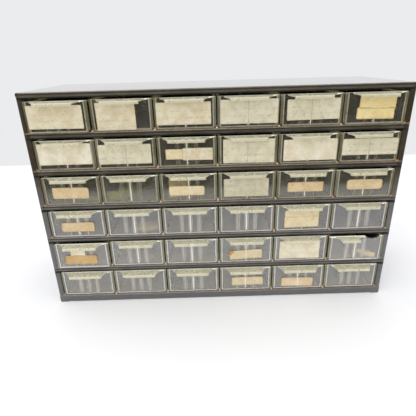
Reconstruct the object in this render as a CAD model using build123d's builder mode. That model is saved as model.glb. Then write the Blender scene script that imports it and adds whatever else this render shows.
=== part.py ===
"""Parts cabinet: a folded steel case with thirty-six clear moulded drawers.

Millimetres, +Z up, front towards -Y. The origin lies on the floor, under the middle of the
whole cabinet with its drawer pulls. Every depth in the comments is measured back from the
front plane of the steel case.
"""

from build123d import *
from math import sqrt
import os

os.makedirs("parts", exist_ok=True)

# Case: overall size and the number of drawers
cabinet_width = 438.0
cabinet_height = 275.0
cabinet_depth = 152.0
columns = 6
rows = 6

# Case: sheet steel and its folds
case_sheet = 0.9
shelf_sheet = 0.8
fold_radius = 1.3
corner_radius = 1.8
fit_clearance = 0.2

# Case: the folded rails that show at the front
side_rail_width = 6.0
top_rail_height = 6.7
bottom_rail_height = 10.0
bottom_rail_rise = 1.0
bottom_rail_return = 6.0
corner_foot_width = 10.5
rail_flat = 3.2
rail_slope_depth = 1.4
rail_depth = 4.3
rear_flange = 8.0
back_foot_flange = 8.0

# Shelves: front lip, side and rear flanges, and the stamped ribs that guide the drawers
shelf_lip_height = 6.9
shelf_flange = 8.0
flange_setback = 10.0
guide_height = 2.5
guide_base_width = 4.2
guide_top_width = 2.8
guide_end_slope = 1.2
guide_rear_gap = 14.0

# Drawers: fit in the case
front_set_back = 2.5
front_gap = 1.6
head_room = 2.8
running_clearance = 0.3
guide_clearance = 0.7
rear_gap = 2.5
front_stop_clearance = 0.3

# Drawers: moulded tray
front_thickness = 2.0
front_corner_cut = 2.4
front_top_cut = 0.8
wall = 1.4
wall_draft = 0.6
tray_edge_bevel = 2.2
rim_drop = 0.8
rim_width = 1.9
rim_thickness = 1.2

# Drawers: pull
pull_length = 9.6
pull_drop = 1.3
pull_lip = 3.3
pull_thickness = 1.5
pull_nose_bevel = 1.0
pull_tip_width = 41.6
pull_root_width = 48.0
pull_flare = 3.0

# Drawers: divider slots, divider and rear stop
slot_pitch = 11.0
slot_count = 3
slot_rib_width = 1.6
slot_rib_depth = 1.4
slot_top_gap = 4.0
divider_thickness = 1.4
divider_clearance = 0.25
divider_top_gap = 2.6
divider_corner_cut = 2.0
stop_width = 24.0
stop_overlap = 2.0
stop_bevel = 2.0

# Broken drawer: what is left of its pull, and the bite out of its top edge
broken_drawer = (5, 6)
broken_pull_end = 2.0
break_slant = 2.5
bite_centre = 20.5
bite_width = 20.0
bite_depth = 4.2

# Drawers that hold no divider, and drawers that stand a little open, as (row, column)
undivided = [(1, 1), (1, 2), (5, 1), (6, 1), (6, 2), (6, 6)]
far_open = 4.5
half_open = 3.1
just_open = 1.4
stands_open = {
    (1, 1): far_open,
    (5, 1): half_open,
    (5, 6): half_open,
    (1, 6): just_open,
    (3, 6): just_open,
}

# Sizes that follow from those above
half_width = cabinet_width / 2
column_pitch = (cabinet_width - 2 * side_rail_width) / columns
rail_heights = top_rail_height + bottom_rail_height + (rows - 1) * shelf_lip_height
opening_height = (cabinet_height - rail_heights) / rows
row_pitch = opening_height + shelf_lip_height
front_reach = pull_length - front_set_back + max(stands_open.values())
front_y = (front_reach - cabinet_depth) / 2
shelf_depth = cabinet_depth - case_sheet - shelf_sheet
guide_start = front_set_back + front_thickness + front_stop_clearance
guide_end = shelf_depth - guide_rear_gap
notch_depth = rail_depth + fit_clearance
foot_height = bottom_rail_height - shelf_sheet - fit_clearance

front_width = column_pitch - front_gap
front_height = opening_height - head_room - running_clearance
tray_width = column_pitch - guide_base_width - 2 * guide_clearance
drawer_length = shelf_depth - shelf_sheet - rear_gap - front_set_back
rim_top = front_height - rim_drop
slot_width = divider_thickness + 2 * divider_clearance
stop_top = opening_height + stop_overlap - running_clearance


# Working planes, all measured from the front plane of the case
def face_plane(depth, height=0):
    """Upright plane across the cabinet: local x is X, local y is Z, depth behind the front."""
    return Plane(origin=(0, front_y + depth, height), x_dir=(1, 0, 0), z_dir=(0, -1, 0))


def side_plane(height=0):
    """Upright plane through the middle, seen from the side: local x is depth, local y is Z."""
    return Plane(origin=(0, front_y, height), x_dir=(0, 1, 0), z_dir=(1, 0, 0))


def level_plane(height=0):
    """Level plane at a height: local x is X, local y is depth."""
    return Plane(origin=(0, front_y, height), x_dir=(1, 0, 0), z_dir=(0, 0, 1))


def folded_sheet(plane, points, sheet, side, round_folds=()):
    """Section of a folded sheet: its outer line, thickened to one side, with some folds round."""
    with BuildSketch(plane) as section:
        with BuildLine():
            Polyline(*points)
            offset(amount=sheet, side=side, kind=Kind.INTERSECTION)
        make_face()
        for fold in round_folds:
            fillet(section.vertices().sort_by_distance(fold)[0], radius=fold_radius)
    return section.sketch


# Cabinet shell: one sheet folded into top and sides, hemmed at the front, flanged at the back
with BuildPart() as cabinet_shell:
    opening_edge = -half_width + side_rail_width
    side_line = [
        (opening_edge, rail_depth),
        (opening_edge, rail_slope_depth),
        (-half_width + rail_flat, 0),
        (-half_width, 0),
        (-half_width, cabinet_depth),
        (-half_width + rear_flange, cabinet_depth),
    ]
    side_folds = side_line[3:5]
    extrude(
        folded_sheet(level_plane(), side_line, case_sheet, Side.RIGHT, side_folds),
        amount=cabinet_height,
    )
    # Bottom corner of the side: a flat foot that turns in under the cabinet
    with BuildSketch(level_plane()):
        with Locations((-half_width, 0)):
            Rectangle(corner_foot_width, cabinet_depth, align=(Align.MIN, Align.MIN))
    extrude(amount=case_sheet)
    with BuildSketch(face_plane(0)):
        with Locations((-half_width, 0)):
            Rectangle(corner_foot_width, foot_height, align=(Align.MIN, Align.MIN))
    extrude(amount=-case_sheet)
    mirror(about=Plane.YZ)
    top_line = [
        (rail_depth, cabinet_height - top_rail_height),
        (rail_slope_depth, cabinet_height - top_rail_height),
        (0, cabinet_height - rail_flat),
        (0, cabinet_height),
        (cabinet_depth, cabinet_height),
        (cabinet_depth, cabinet_height - rear_flange),
    ]
    top_folds = top_line[3:5]
    extrude(
        folded_sheet(side_plane(), top_line, case_sheet, Side.RIGHT, top_folds),
        amount=half_width,
        both=True,
    )
    # The long corners of the wrap are rounded by the fold of the sheet
    with BuildSketch(face_plane(0)):
        with Locations((0, cabinet_height / 2)):
            RectangleRounded(cabinet_width, cabinet_height, corner_radius)
    extrude(amount=-cabinet_depth, mode=Mode.INTERSECT)
cabinet_shell.part.label = "cabinet_shell"
export_step(cabinet_shell.part, "parts/cabinet_shell.step")

# Back panel: lies inside the rear flanges, with its lower edge turned forward over the feet
with BuildPart() as back_panel:
    back_line = [
        (cabinet_depth - case_sheet, cabinet_height - case_sheet - fit_clearance),
        (cabinet_depth - case_sheet, case_sheet),
        (cabinet_depth - case_sheet - back_foot_flange, case_sheet),
    ]
    extrude(
        folded_sheet(side_plane(), back_line, shelf_sheet, Side.RIGHT, back_line[1:2]),
        amount=half_width - case_sheet - fit_clearance,
        both=True,
    )
back_panel.part.label = "back_panel"
export_step(back_panel.part, "parts/back_panel.step")


def guide_rib(base, top, rise, start, length, height):
    """Row of parallel ribs that run back from a depth, one at each edge of a column."""
    with BuildPart() as ribs:
        with BuildSketch(face_plane(start, height)):
            with GridLocations(column_pitch, 0, columns + 1, 1):
                corners = [(-base / 2, 0), (base / 2, 0), (top / 2, rise), (-top / 2, rise)]
                Polygon(*corners, align=None)
        extrude(amount=-length)
    return ribs.part


def guided_plate(height, front_line, flange):
    """Folded plate with a shaped front edge, end and rear flanges, and hollow stamped guides."""
    plate_half = half_width - case_sheet
    rail_half = half_width - side_rail_width - fit_clearance
    outline = [(shelf_depth, height - flange), (shelf_depth, height)] + front_line
    guide_length = guide_end - guide_start
    with BuildPart() as plate:
        extrude(
            folded_sheet(side_plane(), outline, shelf_sheet, Side.LEFT, front_line[:1]),
            amount=plate_half,
            both=True,
        )
        # End flanges turned down against the sides of the case
        with BuildSketch(level_plane(height)):
            with Locations((plate_half, flange_setback), (-plate_half + shelf_sheet, flange_setback)):
                flange_length = shelf_depth - 2 * flange_setback
                Rectangle(shelf_sheet, flange_length, align=(Align.MAX, Align.MIN))
        extrude(amount=-flange)
        # Front corners cut back to clear the hems of the side rails
        with BuildSketch(level_plane(height)):
            with Locations((rail_half, 0), (-half_width, 0)):
                Rectangle(half_width - rail_half, notch_depth, align=(Align.MIN, Align.MIN))
        extrude(amount=-cabinet_height, mode=Mode.SUBTRACT)
        # Guides pressed up out of the plate, hollow below and sloped at the front
        add(
            guide_rib(
                guide_base_width,
                guide_top_width,
                guide_height,
                guide_start,
                guide_length,
                height,
            )
        )
        add(
            guide_rib(
                guide_base_width - shelf_sheet,
                guide_top_width - shelf_sheet,
                guide_height,
                guide_start + guide_end_slope + shelf_sheet,
                guide_length - guide_end_slope - 2 * shelf_sheet,
                height - shelf_sheet,
            ),
            mode=Mode.SUBTRACT,
        )
        with BuildSketch(side_plane(height)):
            with BuildLine():
                Polyline(
                    (guide_start, 0),
                    (guide_start, guide_height),
                    (guide_start + guide_end_slope, guide_height),
                    close=True,
                )
            make_face()
        extrude(amount=half_width, both=True, mode=Mode.SUBTRACT)
    return plate.part


# Bottom pan: the floor of the lowest row, with the front rail between the two feet
with BuildPart() as bottom_pan:
    floor_line = [
        (0, bottom_rail_height),
        (0, bottom_rail_rise),
        (bottom_rail_return, bottom_rail_rise),
    ]
    floor_flange = bottom_rail_height - case_sheet - shelf_sheet
    add(guided_plate(bottom_rail_height, floor_line, floor_flange))
    with BuildSketch(level_plane()):
        foot_edge = half_width - corner_foot_width - fit_clearance
        with Locations((foot_edge, 0), (-half_width, 0)):
            Rectangle(
                corner_foot_width + fit_clearance, notch_depth, align=(Align.MIN, Align.MIN)
            )
    extrude(amount=bottom_rail_height - shelf_sheet, mode=Mode.SUBTRACT)
bottom_pan.part.label = "bottom_pan"
export_step(bottom_pan.part, "parts/bottom_pan.step")

# Shelves: the front lip falls straight, then turns back under itself
for number in range(1, rows):
    shelf_top = bottom_rail_height + (rows - number) * row_pitch
    lip_line = [
        (0, shelf_top),
        (0, shelf_top - rail_flat),
        (rail_slope_depth, shelf_top - shelf_lip_height),
        (rail_depth, shelf_top - shelf_lip_height),
    ]
    with BuildPart() as shelf:
        add(guided_plate(shelf_top, lip_line, shelf_flange))
    shelf.part.label = f"shelf_{number}"
    export_step(shelf.part, f"parts/shelf_{number}.step")


# Drawer in its own place: the front face at depth 0, the underside at height 0
def drawer_pull(broken):
    """Sloped finger ledge with a turned-down nose, flared where it leaves the front."""
    half_tip = pull_tip_width / 2
    half_root = pull_root_width / 2
    half_flare = half_root + pull_flare
    buried = front_thickness / 2
    nose_top = front_height - pull_drop
    with BuildPart() as pull:
        with BuildSketch(Plane.YZ) as ledge:
            with BuildLine():
                Polyline(
                    (buried, front_height),
                    (-pull_length, nose_top),
                    (-pull_length, nose_top - pull_lip),
                )
                offset(amount=pull_thickness, side=Side.LEFT, kind=Kind.INTERSECTION)
            make_face()
            nose = ledge.vertices().sort_by_distance((-pull_length, nose_top))[0]
            chamfer(nose, length=pull_nose_bevel)
        extrude(amount=half_flare, both=True)
        with BuildSketch(Plane.XY):
            with BuildLine():
                Polyline(
                    (0, buried),
                    (half_flare, buried),
                    (half_flare, 0),
                    (half_root, -pull_flare),
                    (half_tip, -pull_length),
                    (0, -pull_length),
                )
                mirror(about=Plane.YZ)
            make_face()
        extrude(amount=front_height, mode=Mode.INTERSECT)
        if broken:
            # The right half has snapped off on a slanting line
            with BuildSketch(Plane.XY):
                with BuildLine():
                    Polyline(
                        (broken_pull_end, -pull_length),
                        (broken_pull_end + break_slant, 0),
                        (half_flare, 0),
                        (half_flare, -pull_length),
                        close=True,
                    )
                make_face()
            extrude(amount=front_height, mode=Mode.SUBTRACT)
    return pull.part


def trough(half_top, bottom, start, end, edge_bevel):
    """Solid of a trough: sides that lean in towards a floor with bevelled long edges."""
    half_bottom = half_top - wall_draft
    with BuildPart() as body:
        with BuildSketch(Plane.XZ.offset(-start)) as section:
            corners = [
                (-half_top, rim_top),
                (-half_bottom, bottom),
                (half_bottom, bottom),
                (half_top, rim_top),
            ]
            Polygon(*corners, align=None)
            chamfer(section.vertices().group_by(Axis.Y)[0], length=edge_bevel)
        extrude(amount=start - end)
    return body.part


def drawer_tray(broken):
    """One moulding: front, trough, side rims, divider slots, rear stop and pull."""
    half_tray = tray_width / 2
    back_face = drawer_length - wall
    with BuildPart() as tray:
        add(trough(half_tray, 0, front_thickness, drawer_length, tray_edge_bevel))
        inner_bevel = tray_edge_bevel - (2 - sqrt(2)) * wall
        add(
            trough(half_tray - wall, wall, front_thickness, back_face, inner_bevel),
            mode=Mode.SUBTRACT,
        )
        with BuildSketch(Plane.XZ) as front:
            with Locations((0, front_height / 2)):
                Rectangle(front_width, front_height)
            chamfer(front.vertices().group_by(Axis.Y)[0], length=front_corner_cut)
            chamfer(front.vertices().group_by(Axis.Y)[-1], length=front_top_cut)
        extrude(amount=-front_thickness)
        # Rims that stiffen the tops of the sides
        with BuildSketch(Plane.XZ.offset(-front_thickness)):
            with Locations((half_tray - wall, rim_top), (-half_tray - rim_width, rim_top)):
                Rectangle(wall + rim_width, rim_thickness, align=(Align.MIN, Align.MAX))
        extrude(amount=front_thickness - drawer_length)
        # Pairs of tapered ribs that hold a divider at either end
        half_base = slot_rib_width / 2
        front_rib = [(-half_base, 0), (half_base, 0), (0, slot_rib_depth)]
        back_rib = [(half_base, 0), (-half_base, 0), (0, -slot_rib_depth)]
        with BuildSketch(Plane.XY.offset(wall)):
            for depth, rib in ((front_thickness, front_rib), (back_face, back_rib)):
                with Locations((0, depth)):
                    with GridLocations(slot_pitch, 0, slot_count, 1):
                        with GridLocations(slot_width + slot_rib_width, 0, 2, 1):
                            Polygon(*rib, align=None)
        extrude(amount=front_height - slot_top_gap - wall)
        # Stop that stands up from the back and catches behind the lip above
        with BuildSketch(Plane.XZ.offset(-back_face)) as stop:
            with Locations((0, rim_top - rim_thickness)):
                stop_height = stop_top - rim_top + rim_thickness
                Rectangle(stop_width, stop_height, align=(Align.CENTER, Align.MIN))
            chamfer(stop.vertices().group_by(Axis.Y)[-1], length=stop_bevel)
        extrude(amount=-wall)
        add(drawer_pull(broken))
        if broken:
            # A rounded bite is missing from the top edge beside the broken pull
            with BuildSketch(Plane.XZ):
                with BuildLine():
                    bite = ThreePointArc(
                        (bite_centre - bite_width / 2, front_height),
                        (bite_centre, front_height - bite_depth),
                        (bite_centre + bite_width / 2, front_height),
                    )
                    Line(bite @ 1, bite @ 0)
                make_face()
            extrude(amount=-front_thickness, mode=Mode.SUBTRACT)
    return tray.part


def drawer_divider():
    """Plate that slides down into the middle slots."""
    start = front_thickness + divider_clearance
    length = drawer_length - wall - divider_clearance - start
    height = front_height - divider_top_gap - wall - divider_clearance
    with BuildPart() as divider:
        with BuildSketch(Plane.YZ) as outline:
            with Locations((start, wall + divider_clearance)):
                Rectangle(length, height, align=Align.MIN)
            chamfer(outline.vertices().group_by(Axis.Y)[-1], length=divider_corner_cut)
        extrude(amount=divider_thickness / 2, both=True)
    return divider.part


# Drawers: each tray with its loose divider, closed or standing a little open
whole_tray = drawer_tray(broken=False)
bitten_tray = drawer_tray(broken=True)
divider_plate = drawer_divider()
for row in range(1, rows + 1):
    for column in range(1, columns + 1):
        name = f"drawer_r{row}_c{column}"
        centre = -half_width + side_rail_width + (column - 0.5) * column_pitch
        front = front_y + front_set_back - stands_open.get((row, column), 0)
        underside = bottom_rail_height + (rows - row) * row_pitch + running_clearance
        tray = bitten_tray if (row, column) == broken_drawer else whole_tray
        with BuildPart() as drawer:
            with Locations((centre, front, underside)):
                add(tray)
                if (row, column) not in undivided:
                    add(divider_plate)
        drawer.part.label = name
        export_step(drawer.part, f"parts/{name}.step")
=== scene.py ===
# %% [markdown]
# # A small-parts cabinet with thirty-six clear drawers
# The real thing is a folded steel case, brown-grey baked enamel all over, with six rows of six
# drawers moulded from clear styrene that has gone yellow. The case and the drawers come in as
# finished solids. This lesson dresses them: it rounds the mouldings, makes the paper labels,
# and builds the enamel, plastic and paper from nodes.

# %% Load the solids
import math
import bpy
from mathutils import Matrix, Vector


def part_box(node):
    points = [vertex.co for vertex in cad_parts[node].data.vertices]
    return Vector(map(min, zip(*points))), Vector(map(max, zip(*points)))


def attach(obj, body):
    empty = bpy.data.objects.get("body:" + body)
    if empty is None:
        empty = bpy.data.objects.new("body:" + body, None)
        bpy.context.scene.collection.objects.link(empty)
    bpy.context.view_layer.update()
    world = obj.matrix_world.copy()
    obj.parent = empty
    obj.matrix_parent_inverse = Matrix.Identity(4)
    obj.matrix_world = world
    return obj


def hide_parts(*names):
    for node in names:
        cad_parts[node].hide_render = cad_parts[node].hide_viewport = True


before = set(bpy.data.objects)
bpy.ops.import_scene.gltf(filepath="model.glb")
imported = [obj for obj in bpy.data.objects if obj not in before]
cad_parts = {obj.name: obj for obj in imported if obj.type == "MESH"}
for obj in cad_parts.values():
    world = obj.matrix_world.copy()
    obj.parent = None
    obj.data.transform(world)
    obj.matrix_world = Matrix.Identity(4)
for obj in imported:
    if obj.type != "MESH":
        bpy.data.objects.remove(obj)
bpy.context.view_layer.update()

from types import SimpleNamespace

import bmesh
import bpy
from mathutils import Matrix, Vector

scene = bpy.context.scene
rows, columns = 6, 6
mm = 0.001

# %% [markdown]
# ## Where things are
# Labels and wear sit on the drawers and rails, so their places are measured on the solids
# rather than typed. Every drawer is the same moulding: its pull stands 9.6 mm proud of the
# front, and the front is the widest part, so one box per drawer gives all that is needed.

# %% Measure the case and the drawers
case_low, case_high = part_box("cabinet_shell")
front_plane = case_low.y
side_rail = 6.0 * mm
guide_height = 2.5 * mm
pull_length = 9.6 * mm
front_height = 34.2 * mm
front_width = 69.4 * mm
column_pitch = (case_high.x - case_low.x - 2 * side_rail) / columns
lowest_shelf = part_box("bottom_pan")[1].z - guide_height
row_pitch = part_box("shelf_5")[1].z - guide_height - lowest_shelf


def drawer_name(row, column):
    """Name of the drawer's node and of its body, counted from the top left."""
    return f"drawer_r{row}_c{column}"


def drawer_place(row, column):
    """Middle of the lower edge of a drawer's front face."""
    low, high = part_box(drawer_name(row, column))
    return Vector(((low.x + high.x) / 2, low.y + pull_length, low.z))


print("front plane", round(front_plane / mm, 2), "row pitch", round(row_pitch / mm, 2))
print("column pitch", round(column_pitch / mm, 2), "first front", drawer_place(1, 1) / mm)

# %% [markdown]
# ## The camera
# The lens, tilt and place were found by matching the corners of the case in the photograph.
# A camera looks down its own minus Z, so its matrix is built from the direction it looks in,
# its right-hand side and its up side, each turned by the small roll of a hand-held picture.

# %% Place the camera
def add_object(name, data):
    """New object in the scene."""
    item = bpy.data.objects.new(name, data)
    scene.collection.objects.link(item)
    return item


picture_size = 416
focal_length = 354.5
yaw, pitch, roll = math.radians(0.14), math.radians(22.57), math.radians(-1.6)
camera_place = Vector((-13.8, -404.8, 302.0)) * mm + Vector((0, front_plane, 0))
level_ahead = Vector((math.sin(yaw), math.cos(yaw), 0))
ahead = math.cos(pitch) * level_ahead - Vector((0, 0, math.sin(pitch)))
level_right = Vector((math.cos(yaw), -math.sin(yaw), 0))
level_up = level_right.cross(ahead)
right = math.cos(roll) * level_right + math.sin(roll) * level_up
up = math.cos(roll) * level_up - math.sin(roll) * level_right
lens = bpy.data.cameras.new("camera")
lens.sensor_width = 36
lens.lens = focal_length / picture_size * lens.sensor_width
camera = add_object("camera", lens)
turned = Matrix((right, up, -ahead)).transposed().to_4x4()
camera.matrix_world = Matrix.Translation(camera_place) @ turned
scene.camera = camera
print("lens", round(lens.lens, 2), "mm")

# %% [markdown]
# ## Short calls for node trees
# A material can be wired by hand in the shader editor. In a script the same wiring is easier
# to read with a few helpers. The first two add a node and fill its inputs, and the others
# write sums, steps and masks as if they were formulas.


# %% Node helpers
def fill_inputs(tree, item, values):
    """Joins sockets to the inputs of a node and sets its other inputs to constants."""
    for name, value in values.items():
        if isinstance(value, bpy.types.NodeSocket):
            tree.links.new(value, item.inputs[name])
        else:
            item.inputs[name].default_value = value


def add_node(tree, kind, values=None, **settings):
    """Adds a node; values maps input names or numbers to constants or to other sockets."""
    item = tree.nodes.new(kind)
    for name, value in settings.items():
        setattr(item, name, value)
    fill_inputs(tree, item, values or {})
    return item


def made(tree, kind, values=None, output=0, **settings):
    """Adds a node and gives back one of its outputs, which is mostly the first."""
    return add_node(tree, kind, values, **settings).outputs[output]


def maths(tree, operation, *values):
    """Result of one Math node."""
    return made(tree, "ShaderNodeMath", dict(enumerate(values)), operation=operation)


def plus(tree, first, second):
    return maths(tree, "ADD", first, second)


def minus(tree, first, second):
    return maths(tree, "SUBTRACT", first, second)


def most(tree, first, second):
    return maths(tree, "MAXIMUM", first, second)


def times(tree, first, *others):
    """Product of the values; a single value comes back as it is."""
    for value in others:
        first = maths(tree, "MULTIPLY", first, value)
    return first


def step(tree, value, low, high, start=0.0, end=1.0):
    """Smooth step of a value from low to high."""
    ends = {"From Min": low, "From Max": high, "To Min": start, "To Max": end}
    values = {"Value": value} | ends
    return made(tree, "ShaderNodeMapRange", values, interpolation_type="SMOOTHSTEP")


def near(tree, value, middle, reach):
    """One close to a middle value, fading to nothing at a distance of reach."""
    far = maths(tree, "ABSOLUTE", minus(tree, value, middle))
    return step(tree, far, reach * 0.5, reach, 1.0, 0.0)


def split(tree, vector):
    """The three parts of a vector."""
    return add_node(tree, "ShaderNodeSeparateXYZ", {0: vector}).outputs


def join(tree, x=0.0, y=0.0, z=0.0):
    """A vector from its three parts."""
    return made(tree, "ShaderNodeCombineXYZ", {0: x, 1: y, 2: z})


def stored(tree, name, output="Vector"):
    """What a mesh carries under this name."""
    return made(tree, "ShaderNodeAttribute", output=output, attribute_name=name)


def mix_colours(tree, factor, first, second, blend="MIX"):
    """Mixes two colours by a factor; the node has its colours at 6 and 7 and its result at 2."""
    pair = [c if isinstance(c, bpy.types.NodeSocket) else (*c, 1.0) for c in (first, second)]
    values = {0: factor, 6: pair[0], 7: pair[1]}
    return made(tree, "ShaderNodeMix", values, 2, data_type="RGBA", blend_type=blend)


def tint(tree, colour, shade, *masks):
    """Turns a colour towards a shade, as far as the product of the masks says."""
    return mix_colours(tree, times(tree, *masks), colour, shade)


def noise(tree, place, scale, detail=4.0, roughness=0.6, offset=0.0):
    """Noise texture, read at a place that is moved by an offset so that no two agree."""
    shift = offset, offset * 1.7, offset * 2.3
    moved = made(tree, "ShaderNodeVectorMath", {0: place, 1: shift})
    values = {"Vector": moved, "Scale": scale, "Detail": detail, "Roughness": roughness}
    return made(tree, "ShaderNodeTexNoise", values)


def bump_of(tree, height, strength, distance):
    """Normal of a surface that is raised by a height."""
    values = {"Strength": strength, "Distance": distance, "Height": height}
    return made(tree, "ShaderNodeBump", values)


def new_material(name):
    """Material with its tree, its Principled shader and the piece's own coordinates."""
    material = bpy.data.materials.new(name)
    material.use_nodes = True
    tree = material.node_tree
    shader = tree.nodes["Principled BSDF"]
    return material, tree, shader, made(tree, "ShaderNodeTexCoord", output="Object")


print("node helpers ready")

# %% [markdown]
# ## Effects that several finishes share
# Blotches stand for stains, rust and uneven colour. Scratches stand for the fine rubbing that
# every handled surface has: noise stretched a long way in one direction and cut to thin
# lines. Both are node groups, so that the enamel, the plastic and the paper can each use them
# with their own values, and each puts out only a mask.


# %% Shared effects
def new_group(kind, name, inputs, output):
    """Node group whose inputs and output are given by name and kind."""
    group = bpy.data.node_groups.new(name, kind + "NodeTree")
    for in_out, sockets in (("INPUT", inputs), ("OUTPUT", output)):
        for label, socket in sockets.items():
            group.interface.new_socket(label, in_out=in_out, socket_type="NodeSocket" + socket)
    ends = group.nodes.new("NodeGroupInput"), group.nodes.new("NodeGroupOutput")
    return group, ends[0].outputs, ends[1].inputs


def build_blotches():
    """Patches with soft, broken edges: amount sets how much of the surface they cover."""
    inputs = {"Place": "Vector"}
    inputs |= dict.fromkeys(("Scale", "Amount", "Softness", "Variant"), "Float")
    group, given, result = new_group("Shader", "blotches", inputs, {"Mask": "Float"})
    moved = made(group, "ShaderNodeVectorMath", {0: given["Place"], 1: given["Variant"]})
    patches = noise(group, moved, given["Scale"], detail=7.0, roughness=0.62)
    edge = minus(group, 1.0, given["Amount"])
    upper = plus(group, edge, given["Softness"])
    lower = minus(group, edge, given["Softness"])
    group.links.new(step(group, patches, lower, upper), result["Mask"])
    return group


def build_scratches():
    """Thin rubbed lines, long across the surface, in two crossing directions."""
    line_width = 0.03
    inputs = {"Place": "Vector", "Scale": "Float"}
    group, given, result = new_group("Shader", "scratches", inputs, {"Mask": "Float"})
    values = {0: given["Place"], "Scale": given["Scale"]}
    scaled = made(group, "ShaderNodeVectorMath", values, operation="SCALE")
    directions = [((0.3, 0.2, 0.5), (30, 900, 900)), ((1.1, 0.6, -0.4), (700, 40, 700))]
    masks = []
    for turn, stretch in directions:
        values = {"Vector": scaled, "Rotation": turn, "Scale": stretch}
        lines = noise(group, made(group, "ShaderNodeMapping", values), 1.0, detail=2.0)
        far = maths(group, "ABSOLUTE", minus(group, lines, 0.5))
        masks.append(step(group, far, 0.0, line_width, 1.0, 0.0))
    gate = step(group, noise(group, scaled, 45.0, offset=3.0), 0.45, 0.7)
    group.links.new(times(group, most(group, *masks), gate), result["Mask"])
    return group


blotches = build_blotches()
scratches = build_scratches()


def blotch_mask(tree, place, scale, amount, softness, variant=0.0):
    """Mask from the blotches, with these values."""
    values = {"Scale": scale, "Amount": amount, "Softness": softness, "Variant": variant}
    return made(tree, "ShaderNodeGroup", {"Place": place} | values, node_tree=blotches)


def scratch_mask(tree, place, scale):
    """Mask from the scratches, at this scale."""
    values = {"Place": place, "Scale": scale}
    return made(tree, "ShaderNodeGroup", values, node_tree=scratches)


print("groups:", blotches.name, scratches.name)

# %% [markdown]
# ## Baked enamel on sheet steel
# The case is sprayed brown-grey and baked, so it has a low sheen and a fine orange-peel
# surface. Wear isn't random: the enamel goes thin and pale where drawers rub the ends of the
# stamped guides, and rust starts in the openings. The rails also get painted light: a
# painted highlight on the fold of each lip, painted shade in its crease and under it, and a
# painted reflection of the table on the lower rails. The shelves and the guides repeat at a
# fixed pitch, so one material can find all these places from its own coordinates.


# %% Places on the case
def from_nearest(tree, value, first, pitch):
    """Distance from the nearest of the places that start at a first one and repeat."""
    count = maths(tree, "DIVIDE", minus(tree, value, first), pitch)
    share = maths(tree, "FRACT", plus(tree, count, 0.5))
    return times(tree, minus(tree, share, 0.5), pitch)


def case_places(tree, place):
    """Where a point of the case is, in the measures that its wear is found by."""
    across, back, high = split(tree, place)
    upward = split(tree, made(tree, "ShaderNodeNewGeometry", output="Normal"))[2]
    depth = minus(tree, back, front_plane)
    not_up = step(tree, upward, 0.5, 0.9, 1.0, 0.0)
    return SimpleNamespace(
        across=across,
        high=high,
        upward=upward,
        depth=depth,
        above_shelf=from_nearest(tree, high, lowest_shelf, row_pitch),
        from_guide=from_nearest(tree, across, case_low.x + side_rail, column_pitch),
        from_side=minus(tree, case_high.x - side_rail, maths(tree, "ABSOLUTE", across)),
        at_front=times(tree, near(tree, depth, 0.0, 8.0 * mm), not_up),
    )


print("shelves repeat from", round(lowest_shelf / mm, 2), "mm up")

# %% [markdown]
# On the outside there is a slow drift of the colour, fine cloudiness and dust that has
# settled on top. The folded edge of each lip has a painted highlight, the lower rails are
# painted paler and bluish as a painted reflection of the white table, the top rail is painted
# paler too, and painted shade lies in the crease of every lip and under it.


# %% Paint and rails
def painted(tree, place, at, cloud):
    """Colour of the enamel itself, with dust on what faces up."""
    drift = step(tree, noise(tree, place, 9.0, detail=3.0), 0.35, 0.7)
    colour = mix_colours(tree, drift, (0.036, 0.032, 0.026), (0.052, 0.046, 0.039))
    colour = tint(tree, colour, (0.028, 0.024, 0.019), step(tree, cloud, 0.3, 0.75, 0.0, 0.35))
    dust = step(tree, noise(tree, place, 70.0, offset=1.3), 0.4, 0.75, 0.1, 0.5)
    dusty = times(tree, step(tree, at.upward, 0.5, 0.95), dust)
    return tint(tree, colour, (0.3, 0.28, 0.25), dusty, 0.38)


def rails_with_painted_light(tree, place, at, colour):
    """Colour with painted light and shade on rails and lips, and the mask of the painted shade."""
    # Painted highlight: the folded edge of each lip is painted paler
    painted_lip_highlight = times(
        tree, near(tree, at.above_shelf, -0.5 * mm, 1.3 * mm), near(tree, at.depth, 0.0, 1.6 * mm)
    )
    uneven = step(tree, noise(tree, place, 120.0, offset=2.1), 0.3, 0.65, 0.35, 1.0)
    colour = tint(tree, colour, (0.3, 0.27, 0.235), times(tree, painted_lip_highlight, uneven), 0.6)
    # Painted reflection: the lower rails are painted paler and bluish for the white table they
    # mirror, and the top rail is painted paler too
    low_rails = step(tree, at.high, 150 * mm, 190 * mm, 1.0, 0.0)
    top_rail = step(tree, at.high, case_high.z - 10 * mm, case_high.z - 6 * mm, 0.0, 0.55)
    painted_rail_sheen = times(tree, at.at_front, most(tree, low_rails, top_rail))
    colour = tint(tree, colour, (0.104, 0.102, 0.104), painted_rail_sheen, 0.62)
    on_lip = times(
        tree, near(tree, at.depth, 0.0, 5.0 * mm), step(tree, at.high, 10 * mm, 12 * mm)
    )
    # Painted shade in the crease of each lip
    crease = times(tree, near(tree, at.above_shelf, -2.1 * mm, 1.0 * mm), on_lip)
    colour = tint(tree, colour, (0.008, 0.006, 0.004), crease, 0.85)
    # Painted shade under each lip, where the gap above the drawers lies in shadow; roughness and
    # coat follow these painted shade lines too
    under = times(tree, near(tree, at.above_shelf, -6.9 * mm, 2.2 * mm), on_lip)
    return tint(tree, colour, (0.004, 0.003, 0.002), under), most(tree, crease, under)


print("paint and rails ready")
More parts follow.
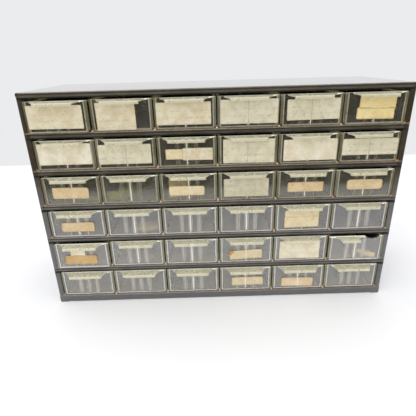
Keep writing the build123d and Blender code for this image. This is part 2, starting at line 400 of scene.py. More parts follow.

# %% [markdown]
# In the openings, but not under the top, there is rust on the shelf in front of the drawers
# and orange in the lower corners. The guide ends are rubbed through to a pale primer, with a
# brown stain above. Then come scratches, a dark chip near the front edge of the top, and the
# upper rails, which are browned and lose their coat towards the top.


# %% Enamel on the case
def worn_openings(tree, place, at, colour):
    """Colour with rust and rubbed guides, and the mask of the rust."""
    inside = times(
        tree,
        step(tree, at.depth, 9.0 * mm, 12.0 * mm, 1.0, 0.0),
        step(tree, at.from_side, -1.5 * mm, -0.5 * mm),
        step(tree, at.high, case_high.z - 30 * mm, case_high.z - 20 * mm, 1.0, 0.0),
    )
    rust = times(
        tree,
        near(tree, at.above_shelf, 0.0, 1.0 * mm),
        near(tree, at.depth, 2.9 * mm, 2.2 * mm),
        blotch_mask(tree, place, 240.0, 0.56, 0.1),
    )
    colour = tint(tree, colour, (0.17, 0.06, 0.02), rust, 0.8)
    corner = times(
        tree,
        near(tree, at.from_side, -0.6 * mm, 2.6 * mm),
        near(tree, at.above_shelf, 0.6 * mm, 2.4 * mm),
        step(tree, at.depth, 0.6 * mm, 1.4 * mm),
        inside,
    )
    corner_patches = blotch_mask(tree, place, 190.0, 0.62, 0.08, 0.7)
    colour = tint(tree, colour, (0.27, 0.105, 0.035), corner, corner_patches)
    at_guide = times(
        tree,
        near(tree, at.from_guide, 0.0, 1.7 * mm),
        near(tree, at.depth, 5.0 * mm, 5.0 * mm),
        inside,
    )
    stained = times(tree, at_guide, near(tree, at.above_shelf, 1.2 * mm, 1.8 * mm))
    colour = tint(tree, colour, (0.17, 0.085, 0.035), stained, 0.7)
    guide_end = near(tree, at.above_shelf, 0.1 * mm, 0.8 * mm)
    colour = tint(tree, colour, (0.95, 0.7, 0.48), at_guide, guide_end)
    return colour, most(tree, rust, corner)


def build_enamel():
    material, tree, shader, place = new_material("brown_grey_enamel")
    at = case_places(tree, place)
    cloud = noise(tree, place, 160.0, detail=5.0, offset=0.4)
    colour, dull = rails_with_painted_light(tree, place, at, painted(tree, place, at, cloud))
    colour, rusty = worn_openings(tree, place, at, colour)
    colour = tint(tree, colour, (0.35, 0.33, 0.3), scratch_mask(tree, place, 1.0), 0.18)
    speck = times(
        tree,
        near(tree, at.across, -3.5 * mm, 3.2 * mm),
        near(tree, at.depth, 7.0 * mm, 4.0 * mm),
        step(tree, at.upward, 0.5, 0.9),
    )
    colour = tint(tree, colour, (0.02, 0.02, 0.018), speck)
    # Front faces higher up are browned and lose their coat, more towards the top
    upper_front = times(tree, at.at_front, step(tree, at.high, 80 * mm, 200 * mm, 0.0, 0.85))
    browned = mix_colours(tree, upper_front, (1.0, 1.0, 1.0), (1.16, 0.98, 0.62))
    colour = mix_colours(tree, 1.0, colour, browned, "MULTIPLY")
    rough = step(tree, cloud, 0.2, 0.8, 0.16, 0.27)
    for mask, amount in ((speck, 0.5), (rusty, 0.4), (dull, 0.6)):
        rough = plus(tree, rough, times(tree, mask, amount))
    gloss = times(tree, minus(tree, 1.0, upper_front), minus(tree, 1.0, dull))
    peel = noise(tree, place, 900.0, detail=2.0, offset=5.0)
    fill_inputs(
        tree,
        shader,
        {
            "Base Color": colour,
            "Roughness": rough,
            "Normal": bump_of(tree, peel, 0.12, 0.00015),
            "Specular IOR Level": 0.5,
            "Coat Weight": gloss,
            "Coat Roughness": 0.12,
        },
    )
    return material


enamel = build_enamel()
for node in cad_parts.values():
    if not node.name.startswith("drawer"):
        node.data.materials.clear()
        node.data.materials.append(enamel)
print("enamel on", [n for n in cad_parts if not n.startswith("drawer")])

# %% [markdown]
# ## Clear styrene
# Polystyrene bends light strongly, so a plain see-through colour would look like foil. The
# Principled shader with full transmission and the real index of refraction draws the bright
# lines at every wall, slot and rim by itself. A little of the light is scattered instead of
# let through, and how much depends on the place: clean panels scatter least, then the band
# at both sides where the walls stand behind the front, the dusty floor, the pull that years
# of fingers have made hazy, and the cut edges of the dividers, whose glow is painted light
# for the light that the sheet gathers. Some finishes of the upper three rows are darker, more
# olive and clearer; the darker colour is painted shade, as these rows get less light from
# the table. Row 4 lies between, and only its panels have a finish of their own.

# %% Styrene
refraction = 1.59
haze_colour = 0.86, 0.83, 0.7
straight_colour = 0.93, 0.92, 0.86, 1.0


def build_styrene(name, top, rough, clearness, foot=None, glow=(0, 0, 0), coat=0.0, passing=None):
    """Clear plastic with one colour, or with a second one that it turns to at the foot.

    Light that lamps throw through the plastic, or that paper behind it sends on, is let
    straight through by a transparent shader. The eye can't follow how it bends on that way,
    and without it the drawers would be black inside. The share of it that passes is the
    clearness, except on a hazy pull: that would throw too dark a shadow on the label.
    """
    material, tree, shader, place = new_material(name)
    across, back, upright = split(tree, stored(tree, "on_drawer"))
    haze = blotch_mask(tree, place, 55.0, 0.5, 0.2)
    share = step(tree, upright, 0.0, front_height)
    colour = mix_colours(tree, share, foot or top, top)
    colour = tint(tree, colour, haze_colour, haze, 0.35)
    # Olive ends of the rims: the olive tint and the small glow are painted light, for the light
    # that the rim gathers on its way
    lit_rim_end = times(
        tree,
        step(tree, maths(tree, "ABSOLUTE", across), 29.5 * mm, 31.5 * mm),
        step(tree, upright, 31.5 * mm, 32.5 * mm),
        step(tree, back, 0.5 * mm, 2.5 * mm),
    )
    colour = tint(tree, colour, (0.42, 0.37, 0.18), lit_rim_end)
    # The glow of a finish and of the rim ends is painted light; these parts are no lamps
    glow_colour = mix_colours(tree, lit_rim_end, glow, (0.055, 0.047, 0.022))
    roughness = step(tree, haze, 0.0, 1.0, rough, rough * 1.7)
    roughness = plus(tree, roughness, times(tree, scratch_mask(tree, place, 1.6), 0.2))
    ripple = noise(tree, place, 70.0, detail=1.0, offset=2.0)
    fill_inputs(
        tree,
        shader,
        {
            "Base Color": colour,
            "Roughness": roughness,
            "Normal": bump_of(tree, ripple, 0.006, 0.0003),
            "IOR": refraction,
            "Transmission Weight": clearness,
            "Emission Color": glow_colour,
            "Emission Strength": 1.0,
            "Coat Weight": coat,
            "Coat Roughness": 0.03,
        },
    )
    rays = add_node(tree, "ShaderNodeLightPath").outputs
    soft_ray = most(tree, rays["Is Shadow Ray"], rays["Is Diffuse Ray"])
    through = times(tree, soft_ray, passing or clearness)
    straight = made(tree, "ShaderNodeBsdfTransparent", {"Color": straight_colour})
    both = made(tree, "ShaderNodeMixShader", {0: through, 1: shader.outputs[0], 2: straight})
    tree.links.new(both, tree.nodes["Material Output"].inputs["Surface"])
    return material


print("refraction", refraction)

# %% [markdown]
# The table gives each finish its name, colour, roughness and clearness, and then what only
# some have: the colour at the foot, the glow, which is painted light, the gloss of a clear
# coat and the light that passes. The upper rows take their own darker finish, painted shade,
# where there is one, else the common one.

# %% Finishes of the drawers
# The glows of the top edge, the divider edge and the olive side edge are painted light
finishes = {
    "clear": ("clear_styrene", (0.86, 0.87, 0.91), 0.1, 0.91, (0.97, 0.93, 0.89), (0, 0, 0), 0.8),
    "wall": ("wall_styrene", (0.86, 0.85, 0.8), 0.08, 0.96),
    "ledge": ("hazy_pull", (0.78, 0.745, 0.555), 0.18, 0.48, None, (0, 0, 0), 0.0, 0.75),
    "nose": ("worn_pull_nose", (0.8, 0.755, 0.55), 0.25, 0.5, None, (0, 0, 0), 0.0, 0.75),
    "rim": ("hazy_rim", (0.84, 0.81, 0.62), 0.2, 0.55),
    "top_edge": ("bright_top_edge", (0.9, 0.88, 0.76), 0.3, 0.3, None, (0.36, 0.345, 0.26)),
    "divider": ("divider_edge", (0.96, 0.95, 0.9), 0.35, 0.15, None, (0.62, 0.62, 0.6)),
    "slot": ("slot_ribs", (0.9, 0.9, 0.9), 0.5, 0.6, (0.94, 0.92, 0.89)),
    "border": ("border_styrene", (0.5, 0.47, 0.33), 0.3, 0.76, (0.54, 0.51, 0.38)),
    "wall_end": ("wall_end_styrene", (0.94, 0.92, 0.82), 0.25, 0.33, (0.96, 0.94, 0.87)),
    "side_edge": (
        "olive_side_edge", (0.4, 0.36, 0.18), 0.3, 0.3, (0.4, 0.36, 0.2), (0.035, 0.029, 0.012)
    ),
    "floor": ("dusty_floor", (0.42, 0.4, 0.36), 0.4, 0.7),
}
# Darker copies for the upper rows: painted shade, as less light from the table reaches them
shaded_upper_finishes = {
    "clear": (
        "shaded_upper_clear_styrene", (0.74, 0.71, 0.52), 0.08, 0.965, (0.8, 0.77, 0.62), (0, 0, 0), 0.6
    ),
    "slot": ("shaded_upper_slot_ribs", (0.7, 0.69, 0.6), 0.4, 0.84, (0.72, 0.7, 0.62)),
    "border": ("shaded_upper_border", (0.34, 0.3, 0.13), 0.3, 0.78, (0.39, 0.35, 0.17)),
    "wall_end": ("shaded_upper_wall_end", (0.55, 0.51, 0.3), 0.25, 0.45, (0.59, 0.55, 0.35)),
    "floor": ("shaded_upper_floor", (0.2, 0.19, 0.15), 0.4, 0.7),
}
plastics = {zone: build_styrene(*values) for zone, values in finishes.items()}
shaded_upper_plastics = {zone: build_styrene(*values) for zone, values in shaded_upper_finishes.items()}
# Row 4's panels are a little darker: painted shade, between the upper and the lower rows
half_shaded_clear = build_styrene(
    "half_shaded_clear_styrene", (0.8, 0.8, 0.84), 0.09, 0.947, foot=(0.88, 0.85, 0.85), coat=0.7
)
zones = {name: number for number, name in enumerate(plastics)}
print("plastics:", zones)

# %% [markdown]
# ## Rounding the mouldings
# A mould never leaves a knife edge, and on clear plastic each rounded edge draws a bright
# line. There are three different mouldings: with a divider, without one, and the one with
# the broken pull. Each of their faces gets the number of its finish. A moulding also carries
# its own coordinates, because a finish has to know where on the drawer it is.

# %% Where each finish ends
wall_inside, wall_outside, floor_line = 30.9 * mm, 32.2 * mm, 1.6 * mm
front_face, front_thickness, behind_front, inner_face = 0.2 * mm, 2.0 * mm, 2.05 * mm, 2.1 * mm
slot_pitch, rib_reach, rib_start, rib_end = 11.0 * mm, 2.6 * mm, 1.9 * mm, 3.6 * mm
divider_half, divider_side, divider_end = 0.72 * mm, 0.75 * mm, 4.0 * mm
top_edge_height, rim_height, floor_foot, floor_top = 0.9 * mm, 2.2 * mm, 1.5 * mm, 2.5 * mm
nose_depth = 1.9 * mm


def finish_zone(centre, normal):
    """Which finish a face has, from its place on a drawer whose front face is at y = 0."""
    side, back = abs(centre.x), centre.y
    down = front_height - centre.z
    from_slot = min(abs(side - place * slot_pitch) for place in (0, 1))
    on_divider = side < divider_half and inner_face < back < divider_end
    if on_divider and centre.z > floor_foot and normal.y < -0.5:
        return zones["divider"]
    if rib_start < back < rib_end and from_slot < rib_reach and centre.z > floor_foot:
        return zones["slot"]
    if back < -front_face:
        return zones["nose"] if back < nose_depth - pull_length else zones["ledge"]
    if down < top_edge_height:
        return zones["top_edge"] if back < behind_front else zones["rim"]
    if down < rim_height and back > behind_front:
        return zones["rim"]
    if back < behind_front and side > wall_outside:
        return zones["side_edge"] if abs(normal.x) > 0.8 else zones["border"]
    if back < front_face and (side > wall_inside or centre.z < floor_line):
        return zones["wall_end"]
    if back > inner_face and centre.z < floor_top and normal.z > 0.8:
        return zones["floor"]
    return zones["clear"] if back < inner_face else zones["wall"]


print("panels lie between", wall_inside / mm, "mm at either side")

# %% [markdown]
# The solids have sharp edges, so a copy is merged, its flat faces are joined, and a small
# bevel rounds what is left. The front face is cut where the walls and the floor end behind
# it, a little wide of each wall because a mould rounds the corner between them, and the
# inner face is cut where the slot ribs end on it.

# %% Three rounded mouldings
edge_radius = 0.28 * mm


def cut_face(work, depth, place, direction):
    """Cuts the upright face at this depth along a plane, so that a finish can end there."""
    parts = []
    for face in work.faces:
        if abs(face.calc_center_median().y - depth) < 0.2 * mm and abs(face.normal.y) > 0.9:
            parts += [face, *face.edges, *face.verts]
    parts = list(dict.fromkeys(parts))
    bmesh.ops.bisect_plane(work, geom=parts, plane_co=place, plane_no=direction)


def remove_divider(work):
    """Takes out the divider, the only loose sheet: all its corners lie near the middle."""
    seed = min(work.verts, key=lambda v: (abs(v.co.x) > divider_side, abs(v.co.y - 70 * mm)))
    sheet, edge_of_sheet = {seed}, [seed]
    while edge_of_sheet:
        here = edge_of_sheet.pop()
        for edge in here.link_edges:
            there = edge.other_vert(here)
            if there not in sheet:
                sheet.add(there)
                edge_of_sheet.append(there)
    width = max(abs(v.co.x) for v in sheet)
    print("divider of", len(sheet), "corners, half thickness", round(width / mm, 2))
    assert width < 1 * mm
    bmesh.ops.delete(work, geom=list(sheet), context="VERTS")


def baked_mesh(piece):
    """Replaces a piece's mesh by what its modifiers make of it, and takes them off."""
    depsgraph = bpy.context.evaluated_depsgraph_get()
    mesh = bpy.data.meshes.new_from_object(piece.evaluated_get(depsgraph))
    piece.modifiers.clear()
    piece.data = mesh
    return mesh


def rounded_moulding(row, column, name, with_divider=True):
    """Rounded copy of one drawer, moved so that its front's lower edge is at the origin."""
    work = bmesh.new()
    work.from_mesh(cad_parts[drawer_name(row, column)].data)
    bmesh.ops.remove_doubles(work, verts=work.verts, dist=1e-6)
    flat = math.radians(1)
    bmesh.ops.dissolve_limit(work, angle_limit=flat, verts=work.verts, edges=work.edges)
    bmesh.ops.translate(work, verts=work.verts, vec=-drawer_place(row, column))
    if not with_divider:
        remove_divider(work)
    mesh = bpy.data.meshes.new(name)
    work.to_mesh(mesh)
    work.free()
    piece = add_object(name, mesh)
    rounding = piece.modifiers.new("rounded_edges", "BEVEL")
    rounding.width = edge_radius
    rounding.segments = 2
    rounding.limit_method = "ANGLE"
    rounding.angle_limit = math.radians(25)
    rounded = baked_mesh(piece)
    work = bmesh.new()
    work.from_mesh(rounded)
    for side in (-1, 1):
        for line in (wall_inside, wall_outside):
            cut_face(work, 0, (side * line, 0, 0), (1, 0, 0))
        for slot in (-1, 0, 1):
            line = slot * slot_pitch + side * divider_side
            cut_face(work, front_thickness, (line, 0, 0), (1, 0, 0))
    cut_face(work, 0, (0, 0, floor_line), (0, 0, 1))
    work.to_mesh(rounded)
    work.free()
    finish = rounded.attributes.new("finish_zone", "INT", "FACE")
    for face in rounded.polygons:
        finish.data[face.index].value = finish_zone(face.center, face.normal)
    own = rounded.attributes.new("on_drawer", "FLOAT_VECTOR", "POINT")
    for corner in rounded.vertices:
        own.data[corner.index].vector = corner.co
    print(name, len(rounded.polygons), "faces")
    return piece


mouldings = {
    "divided": rounded_moulding(2, 1, "moulding_divided"),
    "open": rounded_moulding(2, 1, "moulding_open", with_divider=False),
    "broken": rounded_moulding(5, 6, "moulding_broken"),
}

# %% [markdown]
# ## Setting out the drawers
# All drawers of one kind are the same moulding at different places, which is what Geometry
# Nodes are for: one tree takes a moulding and a place, moves it there and gives each finish
# zone its material. The tree is used once for each drawer, because every drawer slides by
# itself and so has to end as a mesh of its own.

# %% Tree that places a moulding
shape = {"Geometry": "Geometry"}


def grow_mesh(name, tree, values):
    """Runs a tree with these values on an empty mesh and gives back a plain mesh object."""
    piece = add_object(name, bpy.data.meshes.new(name))
    modifier = piece.modifiers.new("tree", "NODES")
    modifier.node_group = tree
    for item in tree.interface.items_tree:
        if item.in_out == "INPUT" and item.name in values:
            modifier[item.identifier] = values[item.name]
    piece.update_tag()
    baked_mesh(piece).name = name
    return piece


def build_drawer_tree():
    inputs = shape | {"Moulding": "Object", "Place": "Vector"}
    inputs |= dict.fromkeys(zones, "Material")
    tree, given, result = new_group("Geometry", "placed_moulding", inputs, shape)
    piece = made(tree, "GeometryNodeObjectInfo", {"Object": given["Moulding"]}, "Geometry")
    values = {"Geometry": piece, "Translation": given["Place"]}
    piece = made(tree, "GeometryNodeTransform", values)
    piece = made(tree, "GeometryNodeRealizeInstances", {0: piece})
    name = {"Name": "finish_zone"}
    found = made(tree, "GeometryNodeInputNamedAttribute", name, data_type="INT")
    for zone, number in zones.items():
        values = {2: found, 3: number}
        chosen = made(tree, "FunctionNodeCompare", values, data_type="INT", operation="EQUAL")
        values = {"Geometry": piece, "Selection": chosen, "Material": given[zone]}
        piece = made(tree, "GeometryNodeSetMaterial", values)
    tree.links.new(piece, result["Geometry"])
    return tree


drawer_tree = build_drawer_tree()
print("drawer tree has", len(drawer_tree.nodes), "nodes")

# %% [markdown]
# Six drawers have no divider, and one has the broken pull. Each drawer rides on its body and
# stands for the solid of the same name.

# %% Drawers in their places
undivided = (1, 1), (1, 2), (5, 1), (6, 1), (6, 2), (6, 6)
other_mouldings = dict.fromkeys(undivided, "open") | {(5, 6): "broken"}
# Rows 1 to 3 take the shaded upper finishes, and row 4 the half-shaded panels
row_plastics = dict.fromkeys((1, 2, 3), plastics | shaded_upper_plastics)
row_plastics[4] = plastics | {"clear": half_shaded_clear}
for row in range(1, rows + 1):
    for column in range(1, columns + 1):
        moulding = mouldings[other_mouldings.get((row, column), "divided")]
        values = {"Moulding": moulding, "Place": drawer_place(row, column)}
        values |= row_plastics.get(row, plastics)
        drawer = grow_mesh(f"moulded_r{row}_c{column}", drawer_tree, values)
        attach(drawer, drawer_name(row, column))
        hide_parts(drawer_name(row, column))
for piece in mouldings.values():
    bpy.data.objects.remove(piece)
print("drawers set out; the last has", len(drawer.data.polygons), "faces")

# %% [markdown]
# ## Paper and cloth
# Two papers were used over the years: index card, from cream to grey, and masking tape that
# has gone tan and then amber. On both there are faint ruling, age stains, an edge darkened
# by dirt and by painted shade, and sometimes a line down the middle: a dark fold, or a pale
# line that is a painted highlight where the divider shows through. The ruling follows the
# label, not the world, so the material reads each point's place on its label, its distance
# from the middle of the drawer and from the edge. The same sheet in olive cloth and orange
# paper makes the scraps.

# %% Card, tape and cloth
rule_pitch, thread_pitch = 7.5 * mm, 0.7 * mm


def build_paper(
    grain, name, light, dark, stain, ruling, edge_dirt_and_shade=0.55, line=0.0, line_colour=(0.2, 0.21, 0.17)
):
    """Paper with a fine grain; ruling, the darker edge and the line down the middle are strengths.
    """
    material, tree, shader, place = new_material(name)
    _, upright, from_middle = split(tree, stored(tree, "on_label"))
    colour = mix_colours(tree, blotch_mask(tree, place, 90.0, 0.5, 0.15), light, dark)
    colour = tint(tree, colour, stain, blotch_mask(tree, place, 260.0, 0.37, 0.08, 1.5), 0.5)
    rules_up = plus(tree, maths(tree, "DIVIDE", upright, rule_pitch), 0.1)
    rule = near(tree, maths(tree, "FRACT", rules_up), 0.5, 0.2)
    unbroken = step(tree, noise(tree, place, 210.0, detail=3.0, offset=0.9), 0.46, 0.62)
    colour = tint(tree, colour, (0.3, 0.36, 0.42), rule, times(tree, unbroken, ruling))
    # The middle line: dark for a fold; pale on two tapes, where it is a painted highlight of the
    # divider behind
    colour = tint(tree, colour, line_colour, near(tree, from_middle, 0.0, 0.6 * mm), line)
    # Darker towards the edge: dirt, and painted shade along the edges of the sheet
    dirt_and_shade_at_edge = step(tree, stored(tree, "from_edge", "Fac"), 0.2 * mm, 1.3 * mm, edge_dirt_and_shade, 0.0)
    colour = tint(tree, colour, stain, dirt_and_shade_at_edge)
    values = {
        "Base Color": colour,
        "Roughness": 0.85,
        "Normal": bump_of(tree, noise(tree, place, grain), 0.3, 0.0001),
        "Specular IOR Level": 0.25,
    }
    fill_inputs(tree, shader, values)
    return material


def build_cloth(name, light, dark):
    """Woven scrap: two waves cross to make the threads, and dye has faded in patches."""
    material, tree, shader, place = new_material(name)
    across, along, _ = split(tree, stored(tree, "on_label"))
    turn = 2 * math.pi / thread_pitch
    threads = [maths(tree, "SINE", times(tree, axis, turn)) for axis in (across, along)]
    weave = times(tree, *threads)
    colour = mix_colours(tree, blotch_mask(tree, place, 120.0, 0.5, 0.15), dark, light)
    colour = tint(tree, colour, (0.05, 0.05, 0.02), step(tree, weave, -0.2, 1.0, 0.0, 0.35))
    values = {
        "Base Color": colour,
        "Roughness": 0.9,
        "Normal": bump_of(tree, weave, 0.5, 0.0002),
        "Specular IOR Level": 0.0,
    }
    fill_inputs(tree, shader, values)
    return material


print("ruled every", rule_pitch / mm, "mm")

# %% [markdown]
# Each paper has a name, its light, dark and stain colours, and how strong the ruling, the
# darker edge of dirt and painted shade and the middle line are, with the middle line's colour
# for two tapes. Card has a finer grain than tape.

# %% Papers and cloths
card_grain, tape_grain = 900.0, 700.0
cards = {
    "card": ("cream_card", (0.77, 0.71, 0.52), (0.69, 0.575, 0.375), (0.48, 0.36, 0.2), 0.3, 0.25),
    "folded": (
        "folded_card", (0.75, 0.70, 0.52), (0.66, 0.60, 0.42), (0.5, 0.36, 0.24), 0.38, 0.2, 0.36
    ),
    "plain": ("plain_card", (0.84, 0.78, 0.62), (0.72, 0.63, 0.45), (0.55, 0.47, 0.3), 0.12, 0.2),
    "grey": ("grey_card", (0.655, 0.615, 0.45), (0.56, 0.5, 0.34), (0.36, 0.31, 0.19), 0.45, 0.25),
}
tapes = {
    "tape": ("tan_tape", (0.74, 0.59, 0.36), (0.65, 0.49, 0.27), (0.45, 0.28, 0.12), 0.2),
    "pale": ("pale_tape", (0.8, 0.69, 0.45), (0.73, 0.6, 0.37), (0.5, 0.36, 0.18), 0.2),
    "aged": ("aged_tape", (0.84, 0.7, 0.36), (0.78, 0.62, 0.28), (0.45, 0.28, 0.1), 0.2, 0.75),
    # The pale middle line of these two tapes is a painted highlight of the divider that shows
    # through
    "thin": (
        "thin_tape", (0.75, 0.645, 0.425), (0.68, 0.56, 0.35), (0.5, 0.36, 0.18), 0.2, 0.55,
        0.75, (0.97, 0.96, 0.88),
    ),
    "rosy": (
        "rosy_tape", (0.79, 0.635, 0.43), (0.71, 0.55, 0.35), (0.5, 0.3, 0.16), 0.2, 0.55,
        0.75, (0.97, 0.94, 0.86),
    ),
    "fallen": ("fallen_label", (0.84, 0.69, 0.33), (0.76, 0.6, 0.27), (0.5, 0.36, 0.18), 0.2),
    "amber": ("amber_tape", (0.64, 0.45, 0.22), (0.56, 0.37, 0.16), (0.4, 0.2, 0.07), 0.2),
    "orange": ("orange_paper", (0.8, 0.42, 0.1), (0.62, 0.26, 0.05), (0.3, 0.1, 0.02), 0.0),
}
cloths = {
    "cloth": ("olive_cloth", (0.34, 0.315, 0.004), (0.26, 0.24, 0.003)),
    "felt": ("light_olive_felt", (0.58, 0.53, 0.02), (0.46, 0.42, 0.015)),
}
papers = {paper: build_paper(card_grain, *values) for paper, values in cards.items()}
papers |= {paper: build_paper(tape_grain, *values) for paper, values in tapes.items()}
papers |= {cloth: build_cloth(*values) for cloth, values in cloths.items()}
slots = dict.fromkeys(cards, "card") | dict.fromkeys(cloths, "scraps")
print("papers:", sorted(papers))

# %% [markdown]
# ## Labels
# A label is a thin sheet that is never quite flat: its corners lift, it ripples where the
# paste let go, and one end may be torn. That follows a rule with a different seed for each
# label, so a Geometry Nodes tree makes it from a thin block with many divisions. The sizes
# are shares of the drawer's front, read off the photograph from its left and top edges.


# %% Tree that makes a sheet of paper
def build_label_tree():
    numbers = "Width", "Height", "Thickness", "Corner", "Lift", "Tear", "Seed", "Off middle"
    inputs = shape | dict.fromkeys(numbers, "Float")
    inputs |= {"Turn": "Vector", "Place": "Vector", "Paper": "Material"}
    tree, given, result = new_group("Geometry", "paper_label", inputs, shape)
    size = join(tree, given["Width"], given["Thickness"], given["Height"])
    divisions = {"Vertices X": 30, "Vertices Y": 2, "Vertices Z": 22}
    sheet = made(tree, "GeometryNodeMeshCube", {"Size": size} | divisions)
    x, _, z = split(tree, made(tree, "GeometryNodeInputPosition"))
    half_width = times(tree, given["Width"], 0.5)
    half_height = times(tree, given["Height"], 0.5)
    off_side, off_level = maths(tree, "ABSOLUTE", x), maths(tree, "ABSOLUTE", z)
    from_side = minus(tree, half_width, off_side)
    from_end = minus(tree, half_height, off_level)
    # What the paper's material reads: the place on the label and the distance from its edge
    own = join(tree, x, z, plus(tree, x, given["Off middle"]))
    from_edge = maths(tree, "MINIMUM", from_side, from_end)
    marks = ("on_label", own, "FLOAT_VECTOR"), ("from_edge", from_edge, "FLOAT")
    for name, value, kind in marks:
        values = {"Geometry": sheet, "Name": name, "Value": value}
        sheet = made(tree, "GeometryNodeStoreNamedAttribute", values, data_type=kind)
    # Corners lift and the rest ripples; both shares go from 0 in the middle to 1 at an edge
    sideways = maths(tree, "DIVIDE", x, half_width)
    upright = maths(tree, "DIVIDE", z, half_height)
    corner = maths(tree, "POWER", maths(tree, "ABSOLUTE", times(tree, sideways, upright)), 3.0)
    ripples = noise(tree, join(tree, x, given["Seed"], z), 55.0, detail=1.0, roughness=0.5)
    lift = plus(tree, corner, times(tree, ripples, 0.5))
    forward = times(tree, lift, given["Lift"], -1.0)
    # Rounded corners: near the top and bottom each line of points is drawn in along an arc
    radius = given["Corner"]
    into = most(tree, minus(tree, off_level, minus(tree, half_height, radius)), 0.0)
    arc = minus(tree, maths(tree, "POWER", radius, 2.0), maths(tree, "POWER", into, 2.0))
    drawn_in = minus(tree, radius, maths(tree, "SQRT", most(tree, arc, 0.0)))
    rounded = times(tree, sideways, drawn_in, -1.0)
    # Torn end: the right-hand edge is pulled in by coarse noise along its height
    along = join(tree, given["Seed"], 0.0, z)
    jags = noise(tree, along, 260.0, detail=3.0, roughness=0.5)
    reach = times(tree, step(tree, sideways, 0.55, 1.0), given["Tear"])
    inward = times(tree, jags, reach, -1.0)
    values = {"Geometry": sheet, "Offset": join(tree, plus(tree, inward, rounded), forward)}
    sheet = made(tree, "GeometryNodeSetPosition", values)
    values = {"Geometry": sheet, "Translation": given["Place"], "Rotation": given["Turn"]}
    sheet = made(tree, "GeometryNodeTransform", values)
    sheet = made(tree, "GeometryNodeRealizeInstances", {0: sheet})
    values = {"Geometry": sheet, "Material": given["Paper"]}
    tree.links.new(made(tree, "GeometryNodeSetMaterial", values), result["Geometry"])
    return tree


label_tree = build_label_tree()
print("label tree has", len(label_tree.nodes), "nodes")

# %% [markdown]
# Each label is one line: row, column, paper, left and right edge as shares of the front's
# width, top and bottom as shares of its height, its turn in degrees, how deep its right-hand
# end is torn, and how round its corners are, both in millimetres.

# %% Labels on the fronts
labels = [
    (1, 1, "card", 0.03, 0.925, 0.125, 0.874, 0.4, 1.2, 0.5),
    (1, 2, "card", 0.086, 0.724, 0.095, 0.993, -0.3, 0.4, 0.5),
    (1, 3, "card", 0.030, 0.921, 0.150, 0.872, 0.0, 0.3, 0.5),
    (1, 4, "folded", 0.046, 0.984, 0.115, 0.892, 0.0, 0.3, 0.5),
    (1, 5, "folded", 0.102, 0.962, 0.154, 0.822, -0.6, 0.4, 0.5),
    (1, 6, "aged", 0.232, 0.832, 0.143, 0.520, 0.2, 1.6, 0.8),
    (1, 6, "aged", 0.200, 0.838, 0.470, 0.851, 0.6, 3.4, 1.2),
    (2, 1, "plain", 0.048, 0.948, 0.097, 0.826, 0.0, 0.8, 0.5),
    (2, 2, "folded", 0.031, 0.925, 0.177, 0.854, 0.0, 0.3, 0.5),
    (2, 3, "pale", 0.139, 0.430, 0.390, 0.748, 0.3, 0.4, 0.9),
    (2, 3, "card", 0.424, 0.936, 0.365, 0.785, 0.2, 0.3, 0.4),
    (2, 4, "folded", 0.085, 0.952, 0.110, 0.934, 0.4, 0.3, 0.5),
    (2, 5, "plain", 0.080, 0.982, 0.175, 0.906, -0.4, 0.3, 0.5),
    (2, 6, "folded", 0.048, 0.980, 0.207, 0.769, 0.0, 0.3, 0.5),
    (3, 1, "tape", 0.160, 0.799, 0.362, 0.782, 0.9, 0.6, 1.8),
    (3, 3, "pale", 0.155, 0.776, 0.428, 0.783, 0.5, 0.4, 2.2),
    (3, 4, "grey", 0.092, 0.878, 0.211, 0.879, 0.2, 0.4, 0.6),
    (3, 5, "tape", 0.185, 0.817, 0.398, 0.765, 0.0, 0.5, 1.4),
    (3, 6, "tape", 0.192, 0.815, 0.350, 0.725, 0.1, 0.3, 3.4),
    (4, 1, "tape", 0.202, 0.799, 0.425, 0.803, 0.0, 0.4, 2.4),
    (4, 5, "pale", 0.172, 0.797, 0.183, 0.480, 0.0, 0.8, 0.6),
    (4, 5, "pale", 0.166, 0.803, 0.430, 0.878, -1.2, 1.4, 1.0),
    (5, 1, "plain", 0.285, 0.560, 0.220, 0.474, 0.2, 0.4, 0.8),
    (5, 1, "amber", 0.172, 0.769, 0.466, 0.850, 0.2, 0.4, 1.6),
    (5, 4, "thin", 0.186, 0.808, 0.490, 0.870, -2.9, 0.8, 1.0),
    (5, 4, "orange", 0.168, 0.272, 0.535, 0.655, -46.0, 0.3, 0.4),
    (5, 5, "plain", 0.108, 0.865, 0.168, 0.916, 0.2, 0.4, 0.5),
    (6, 4, "thin", 0.231, 0.841, 0.416, 0.787, -0.7, 0.6, 0.8),
    (6, 5, "rosy", 0.180, 0.802, 0.510, 0.905, 1.2, 0.8, 1.6),
]
paper_thickness = 0.18 * mm
stick_gap = 0.12 * mm
label_lift = 0.35
label_seeds_apart = 1.7


def add_sheet(name, row, column, paper, size, middle, turns, lift, tear, corner, seed):
    """One sheet from the tree, riding on its drawer; lift, tear and corner in millimetres."""
    values = {
        "Width": size[0],
        "Height": size[1],
        "Thickness": paper_thickness,
        "Corner": corner * mm,
        "Lift": lift * mm,
        "Tear": tear * mm,
        "Seed": seed,
        "Off middle": middle.x,
        "Turn": [math.radians(angle) for angle in turns],
        "Place": drawer_place(row, column) + middle,
        "Paper": papers[paper],
    }
    sheet = grow_mesh(name, label_tree, values)
    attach(sheet, drawer_name(row, column))
    return sheet


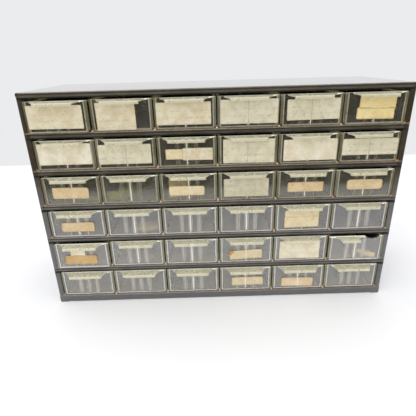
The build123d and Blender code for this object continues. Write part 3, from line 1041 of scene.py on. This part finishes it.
for number, (row, column, paper, *edges, turn, tear, corner) in enumerate(labels):
    left, right_edge, top, bottom = edges
    # The orange scrap is stuck on the tape of its drawer, so it lies two sheets further out
    sheets_out = 2.5 if paper == "orange" else 0.5
    middle = Vector(
        (
            ((left + right_edge) / 2 - 0.5) * front_width,
            -stick_gap - paper_thickness * sheets_out,
            (1 - (top + bottom) / 2) * front_height,
        )
    )
    label = add_sheet(
        f"{paper}_label_{number + 1}_r{row}_c{column}",
        row,
        column,
        paper,
        size=((right_edge - left) * front_width, (bottom - top) * front_height),
        middle=middle,
        turns=(0, turn, 0),
        lift=label_lift,
        tear=tear,
        corner=corner,
        seed=label_seeds_apart * number,
    )
print(len(labels), "labels; the last has", len(label.data.polygons), "faces")

# %% [markdown]
# ## Scraps left in the drawers
# A few drawers hold a scrap that shows through the front: three strips and a bit of olive
# cloth, a crumb of orange paper and three fallen labels. They are the same sheets, tipped
# over round X to lie down and then turned to their heading round Z. One strip stands along
# the left wall with its back end on the floor, so it is turned round Y and Z instead.
# Each line gives row, column, paper, length and width, the middle measured from the foot of
# the front, the three turns and the lift, in millimetres and degrees.

# %% Scraps
scraps = [
    (3, 2, "cloth", 36.0, 13.0, (-14.0, 15.0, 6.6), (-50, 0, 38), 1.6),
    (3, 2, "cloth", 34.0, 8.0, (9.0, 36.0, 4.0), (-72, 0, 35), 1.2),
    (3, 1, "cloth", 13.0, 5.0, (22.5, 8.5, 3.6), (-60, 0, 3), 0.6),
    (3, 3, "tape", 23.0, 24.0, (-13.8, 12.0, 13.6), (-9, 0, 3), 0.8),
    (4, 1, "felt", 38.0, 15.0, (-29.0, 21.6, 16.0), (0, 18, 90), 0.8),
    (4, 2, "tape", 29.0, 23.0, (13.0, 18.0, 3.6), (-84, 0, 0), 0.5),
    (5, 2, "orange", 6.5, 4.5, (15.7, 15.0, 3.6), (-60, 0, 24), 0.6),
    (5, 6, "fallen", 24.5, 7.5, (19.0, 10.5, 3.5), (-55, 0, -37), 1.0),
]
scrap_tear, scrap_corner = 1.5, 0.8
first_scrap_seed, scrap_seeds_apart = 40.0, 2.3
for number, (row, column, paper, length, width, middle, turns, lift) in enumerate(scraps):
    add_sheet(
        f"{paper}_scrap_{number + 1}",
        row,
        column,
        paper,
        size=(length * mm, width * mm),
        middle=Vector(middle) * mm,
        turns=turns,
        lift=lift,
        tear=scrap_tear,
        corner=scrap_corner,
        seed=first_scrap_seed + scrap_seeds_apart * number,
    )
print(len(scraps), "scraps")

# %% [markdown]
# ## Floor and light
# The picture was taken on a white table in a white room. A wide lamp overhead and a pale
# world give soft light, the table lights the lower drawers from below, and a dark card far in
# front of the table stands for the unlit side of the room, which the upper drawers mirror.


# %% Stage
def stage_sheet(name, corners, finish_name, values):
    """Four-cornered face of the stage, with a plain finish."""
    mesh = bpy.data.meshes.new(name)
    mesh.from_pydata(corners, [], [range(4)])
    sheet = add_object(name, mesh)
    finish, tree, shader, _ = new_material(finish_name)
    fill_inputs(tree, shader, values)
    mesh.materials.append(finish)
    return sheet


def soft_lamp(name, place, target, width, depth, energy):
    """Wide lamp at a place, turned towards a target."""
    lamp = bpy.data.lights.new(name, "AREA")
    lamp.shape = "RECTANGLE"
    lamp.size, lamp.size_y = width, depth
    lamp.energy = energy
    towards = (Vector(target) - Vector(place)).to_track_quat("-Z", "Y")
    turned = towards.to_matrix().to_4x4()
    add_object(name, lamp).matrix_world = Matrix.Translation(place) @ turned


side, front, back = 2.0, -0.52, 0.66
stage_sheet(
    "table",
    [(-side, front, 0), (side, front, 0), (side, back, 0), (-side, back, 0)],
    "white_table",
    {"Base Color": (0.97, 0.97, 0.975, 1), "Roughness": 0.9, "Specular IOR Level": 0.1},
)
side, away, low, high = 4.0, -2.4, -3.0, 0.2
room_side = stage_sheet(
    "dark_side_of_room",
    [(-side, away, low), (side, away, low), (side, away, high), (-side, away, high)],
    "dark_room",
    {"Base Color": (0.05, 0.05, 0.05, 1), "Roughness": 0.9},
)
room_side.visible_camera = False

# The camera, and what it sees mirrored or through plastic, gets a slightly lighter room
room_light, room_seen = 0.84, 0.01
world = bpy.data.worlds.new("white_room")
scene.world = world
world.use_nodes = True
sky = world.node_tree
rays = add_node(sky, "ShaderNodeLightPath").outputs
bent = most(sky, rays["Is Glossy Ray"], rays["Is Transmission Ray"])
seen = most(sky, rays["Is Camera Ray"], bent)
strength = plus(sky, room_light, times(sky, seen, room_seen))
background = {"Color": (0.98, 0.985, 1.0, 1), "Strength": strength}
fill_inputs(sky, sky.nodes["Background"], background)

soft_lamp("overhead", (-0.3, 0.0, 1.9), (-0.3, 0.0, 0.0), 2.4, 1.6, 8.7)
soft_lamp("window", (-0.5, -1.6, 1.8), (0.0, -0.1, 0.14), 1.8, 1.3, 17.4)

scene.view_settings.view_transform = "Standard"
print("stage and lights ready")
